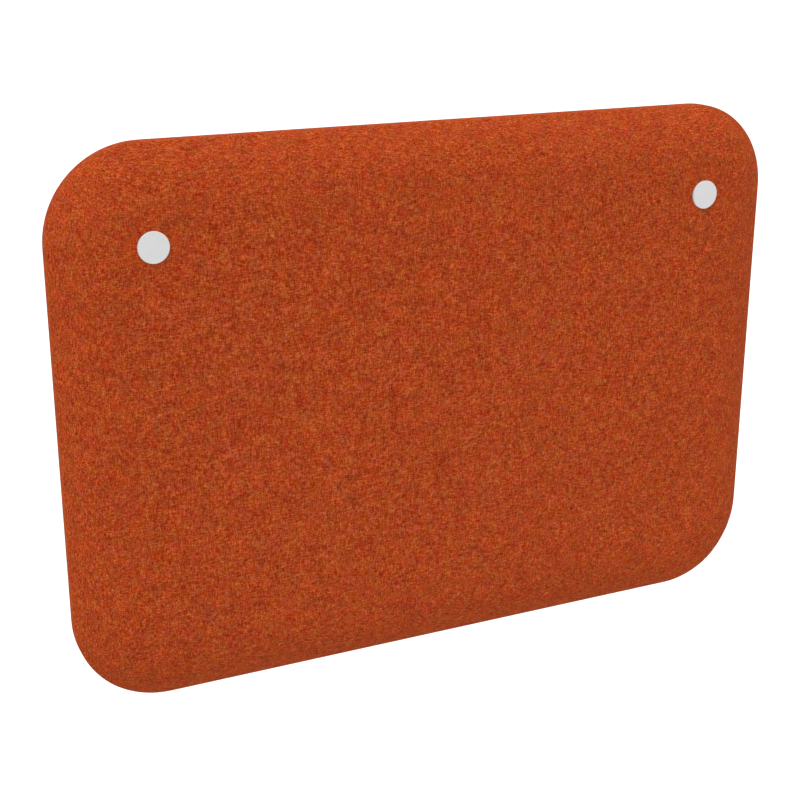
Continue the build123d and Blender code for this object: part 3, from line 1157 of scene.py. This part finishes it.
class PANEL_OT_hem_stitches(bpy.types.Operator):
    """Sews the hem of the rear felt to the turned-in felt"""

    bl_idname = "screen_panel.hem_stitches"
    bl_label = "Hem stitches"

    def execute(self, context):
        padding = context.scene.padding_settings
        sewing = context.scene.sewing_settings
        fold = fold_centre(padding)
        radius = padding.felt + sewing.thread / 3
        steps = 6
        bm = bmesh.new()
        place = (
            Matrix.Translation((fold.x, 0, fold.y))
            @ Matrix.Rotation(sewing.reach / 2, 4, "Y")
            @ Matrix.Translation((radius, -sewing.slant / 2, 0))
        )
        ring = bmesh.ops.create_circle(bm, segments=6, radius=sewing.thread / 2, matrix=place)
        bmesh.ops.spin(
            bm,
            geom=ring["verts"] + list(bm.edges),
            cent=(fold.x, 0, fold.y),
            axis=(0, 1, 0),
            dvec=(0, sewing.slant / steps, 0),
            angle=-sewing.reach,
            steps=steps,
        )
        bmesh.ops.holes_fill(bm, edges=[edge for edge in bm.edges if edge.is_boundary], sides=8)
        bmesh.ops.recalc_face_normals(bm, faces=bm.faces)
        bm = repeated(bm, round_the_panel(corner_axis(padding), fold.x, sewing.pitch))
        finished("hem_stitches", bm, "felt", finish="thread")
        return {"FINISHED"}


class PANEL_OT_rear_felt(bpy.types.Operator):
    """Lays the rear felt over the board and folds its edge into a hem"""

    bl_idname = "screen_panel.rear_felt"
    bl_label = "Rear felt"

    def execute(self, context):
        padding = context.scene.padding_settings
        bm = swept_shell(padding, hem_line(padding))
        height = rear_low.z + padding.felt / 2
        for side in SIDES:
            centre = middle_of("fixing_barrel_" + side)
            open_hole(bm, padding, centre, height, FLANGE_CUT, padding.flange_hole / 2)
        piece = finished("rear_felt", bm, "felt")
        # A little under the felt's thickness, so that the two layers of the hem don't touch
        thickness = 0.93 * padding.felt
        add_modifier(piece, "SOLIDIFY", thickness=thickness, offset=0.0)
        add_modifier(piece, "SUBSURF", levels=1, render_levels=1)
        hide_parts("rear_cover")
        return {"FINISHED"}


class PANEL_OT_stage(bpy.types.Operator):
    """Sets the floor, the lamps and the camera"""

    bl_idname = "screen_panel.stage"
    bl_label = "Stage"

    def execute(self, context):
        stage = context.scene.stage_settings
        make_floor(stage)
        make_lamp(stage)
        make_world(stage)
        make_camera(stage)
        context.scene.view_settings.view_transform = "Standard"
        return {"FINISHED"}


# Stage


def seen_ray(tree):
    """1 for rays from the camera, off gloss and through glass, and 0 for those that light things."""
    path = add(tree, "LightPath", {}).outputs
    seen = math_value(tree, "MAXIMUM", path["Is Camera Ray"], path["Is Glossy Ray"])
    return math_value(tree, "MAXIMUM", seen, path["Is Transmission Ray"])


def make_floor(stage):
    """A wide pale floor, which looks white and keeps the panel's shadow."""
    tree, shader, place = new_material("floor")
    low = (0.97 * stage.floor_level,) * 3
    high = (stage.floor_level,) * 3
    clouds = noise_value(tree, place, 3.0, detail=2.0)
    own_colour = ramp(tree, clouds, [(0.3, low), (0.7, high)])
    colour = mixed(tree, seen_ray(tree), own_colour, rgba((stage.floor_seen,) * 3))
    set_inputs(tree, shader, {"Base Color": colour, "Roughness": 1.0, "Specular IOR Level": 0.0})
    bm = bmesh.new()
    level = Matrix.Translation((0, 0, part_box("front_cover")[0].z - stage.floor_drop))
    bmesh.ops.create_grid(bm, x_segments=1, y_segments=1, size=stage.floor_size / 2, matrix=level)
    mesh = bpy.data.meshes.new("floor")
    bm.to_mesh(mesh)
    bm.free()
    mesh.materials.append(bpy.data.materials["floor" + FINISH])
    floor = bpy.data.objects.new("floor", mesh)
    bpy.context.scene.collection.objects.link(floor)


def make_lamp(stage):
    """A wide soft lamp. Its level is the share of a surface's colour that it brings out by itself."""
    data = bpy.data.lights.new("key", "SUN")
    data.energy = pi * stage.key_level
    data.angle = stage.key_softness
    lamp = bpy.data.objects.new("key", data)
    lamp.rotation_euler = Vector(stage.key_direction).to_track_quat("Z", "Y").to_euler()
    bpy.context.scene.collection.objects.link(lamp)


def make_world(stage):
    """An even sky that looks white and lights the panel at its own level."""
    world = bpy.data.worlds.new("world")
    world.use_nodes = True
    tree = world.node_tree
    level = mix_values(tree, seen_ray(tree), stage.sky_level, 1.0)
    set_inputs(tree, tree.nodes["Background"], {"Color": (1, 1, 1, 1), "Strength": level})
    bpy.context.scene.world = world


def make_camera(stage):
    """The camera at the photographed angle."""
    data = bpy.data.cameras.new("camera")
    data.lens = stage.lens
    camera = bpy.data.objects.new("camera", data)
    camera.location = stage.camera_place
    camera.rotation_euler = (pi / 2 - stage.camera_pitch, 0, -stage.camera_yaw)
    bpy.context.scene.collection.objects.link(camera)
    bpy.context.scene.camera = camera


# Sidebar and registration


class PANEL_PT_screen(bpy.types.Panel):
    """Sidebar panel with every setting and step of the screen panel"""

    bl_idname = "PANEL_PT_screen"
    bl_label = "Screen panel"
    bl_space_type = "VIEW_3D"
    bl_region_type = "UI"
    bl_category = "Screen panel"

    def draw(self, context):
        layout = self.layout
        for name, settings in SETTINGS.items():
            box = layout.box()
            values = getattr(context.scene, name)
            for key in settings.__annotations__:
                box.prop(values, key)
        for step in STEPS:
            layout.operator(step.bl_idname)


SETTINGS = {
    "padding_settings": PaddingSettings,
    "sewing_settings": SewingSettings,
    "colour_settings": ColourSettings,
    "stage_settings": StageSettings,
}

# The operators in the order in which they are called
STEPS = (
    PANEL_OT_finishes,
    PANEL_OT_absorbers,
    PANEL_OT_foam,
    PANEL_OT_wadding,
    PANEL_OT_front_felt,
    PANEL_OT_hem_stitches,
    PANEL_OT_rear_felt,
    PANEL_OT_stage,
)
CLASSES = (*SETTINGS.values(), *STEPS, PANEL_PT_screen)


def register():
    for cls in CLASSES:
        bpy.utils.register_class(cls)
    for name, settings in SETTINGS.items():
        setattr(bpy.types.Scene, name, PointerProperty(type=settings))


def unregister():
    for name in SETTINGS:
        delattr(bpy.types.Scene, name)
    for cls in reversed(CLASSES):
        bpy.utils.unregister_class(cls)


def main():
    register()
    bpy.ops.screen_panel.finishes()
    bpy.ops.screen_panel.absorbers()
    bpy.ops.screen_panel.foam()
    bpy.ops.screen_panel.wadding()
    bpy.ops.screen_panel.front_felt()
    bpy.ops.screen_panel.hem_stitches()
    bpy.ops.screen_panel.rear_felt()
    bpy.ops.screen_panel.stage()


if __name__ == "__main__":
    main()
